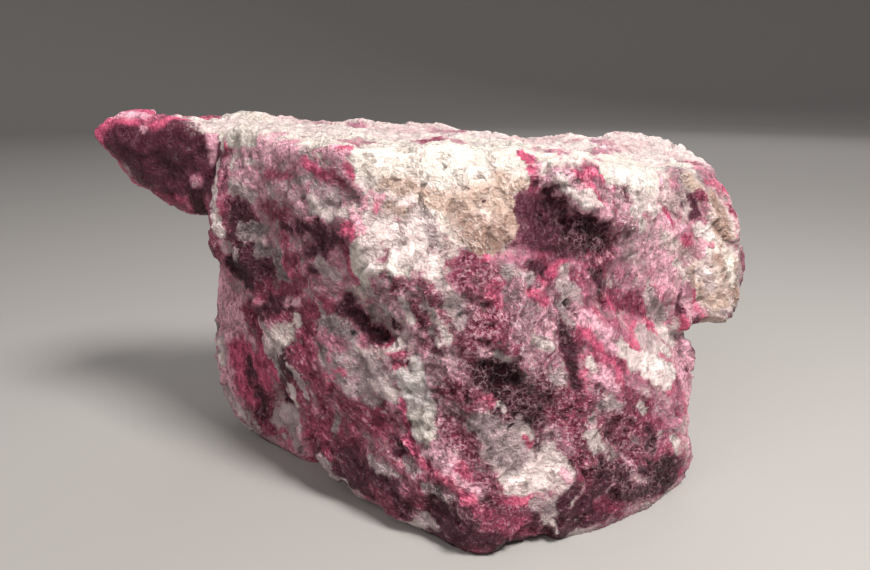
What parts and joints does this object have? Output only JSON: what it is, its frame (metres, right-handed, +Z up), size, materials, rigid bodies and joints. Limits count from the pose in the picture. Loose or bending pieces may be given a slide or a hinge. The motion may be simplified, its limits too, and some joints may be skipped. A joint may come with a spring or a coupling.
{
  "type": "raw thulite",
  "caption": "Rough lump of pink zoisite rock with quartz: flat fracture faces, a fin at one end, an overhang at the other, and a flat base it rests on.",
  "frame": {"origin": "on the flat resting face, near the middle of the lump, at floor level", "axes": "+Z up from the resting face, +X along the length towards the thick end, -Y towards the front broken face"},
  "size_m": [0.1368, 0.084, 0.073],
  "materials": {
    "thulite_rock": "rough broken stone, glassy where it is quartz"
  },
  "bodies": {
    "root": {"thulite_stone": "thulite_rock"}
  },
  "joints": []
}
